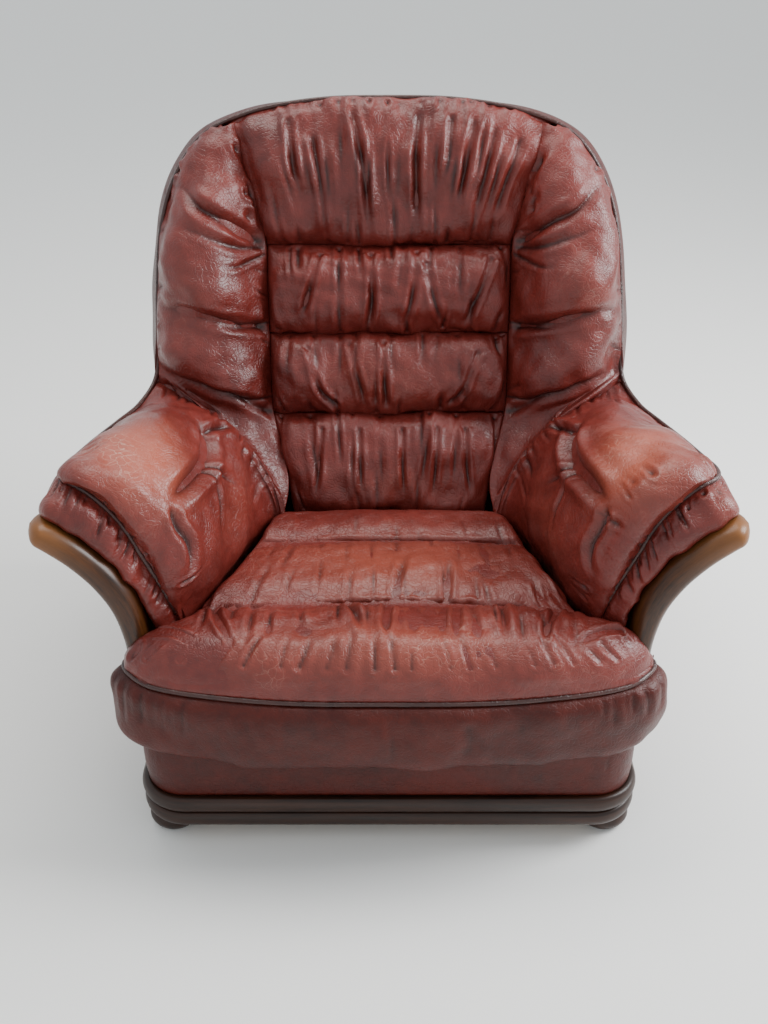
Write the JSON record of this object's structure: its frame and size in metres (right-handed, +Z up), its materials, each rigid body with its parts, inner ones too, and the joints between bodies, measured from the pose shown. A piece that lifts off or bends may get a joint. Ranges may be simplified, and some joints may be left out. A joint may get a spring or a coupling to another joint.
{
  "type": "club chair",
  "caption": "Worn club armchair: stuffed leather rolls, piped shell and T-shaped seat cushion over a beaded wood plinth, with flared show-wood arm fronts and bun feet.",
  "frame": {"origin": "on the floor, under the middle of the chair's box", "axes": "+Z up, -Y the way the sitter faces, +X to the right of someone looking at the chair's front, along its widest side"},
  "size_m": [1.0568, 0.8972, 1.0143],
  "materials": {
    "leather": "worn oxblood leather, satin gloss, fine grain, paler on the rubbed crowns",
    "piping": "corded leather piping, satin",
    "show_wood": "dark walnut-stained beech, satin lacquer",
    "facing_wood": "walnut-stained beech, lacquer worn at the tips",
    "frame_wood": "bare sawn beech",
    "steel": "plain spring steel and zinc-plated bolts",
    "felt": "pressed grey-brown felt",
    "lining": "black non-woven lining",
    "webbing": "woven jute webbing"
  },
  "bodies": {
    "root": {"foot_front_right": "show_wood", "foot_front_left": "show_wood", "foot_rear_right": "show_wood", "foot_rear_left": "show_wood", "plinth_front": "show_wood", "plinth_right": "show_wood", "plinth_left": "show_wood", "plinth_rear": "show_wood", "arm_facing_right": "facing_wood", "arm_facing_left": "facing_wood", "foot_bolt_front_right": "steel", "foot_bolt_front_left": "steel", "foot_bolt_rear_right": "steel", "foot_bolt_rear_left": "steel", "seat_spring_1": "steel", "seat_spring_2": "steel", "seat_spring_3": "steel", "seat_spring_4": "steel", "seat_spring_5": "steel", "corner_block_front_right": "frame_wood", "corner_block_front_left": "frame_wood", "corner_block_rear_right": "frame_wood", "corner_block_rear_left": "frame_wood", "seat_rail_front": "frame_wood", "seat_rail_rear": "frame_wood", "seat_rail_right": "frame_wood", "seat_rail_left": "frame_wood", "arm_post_right": "frame_wood", "arm_post_left": "frame_wood", "arm_rail_right": "frame_wood", "arm_rail_left": "frame_wood", "back_post_right": "frame_wood", "back_post_left": "frame_wood", "back_top_rail": "frame_wood", "back_low_rail": "frame_wood", "spring_felt": "felt", "bottom_lining": "lining", "back_web_1": "webbing", "back_web_2": "webbing", "back_web_3": "webbing", "seat_cushion": "leather", "front_apron": "leather", "arm_pad_right": "leather", "arm_pad_left": "leather", "arm_front_panel_right": "leather", "arm_front_panel_left": "leather", "arm_outer_panel_right": "leather", "arm_outer_panel_left": "leather", "back_band_right": "leather", "back_band_left": "leather", "back_band_top": "leather", "outside_back_panel": "leather", "back_base_roll": "leather", "back_lower_roll": "leather", "back_upper_roll": "leather", "back_head_roll": "leather", "back_wing_right": "leather", "back_wing_left": "leather", "seat_piping": "piping", "shell_piping": "piping"}
  },
  "joints": []
}
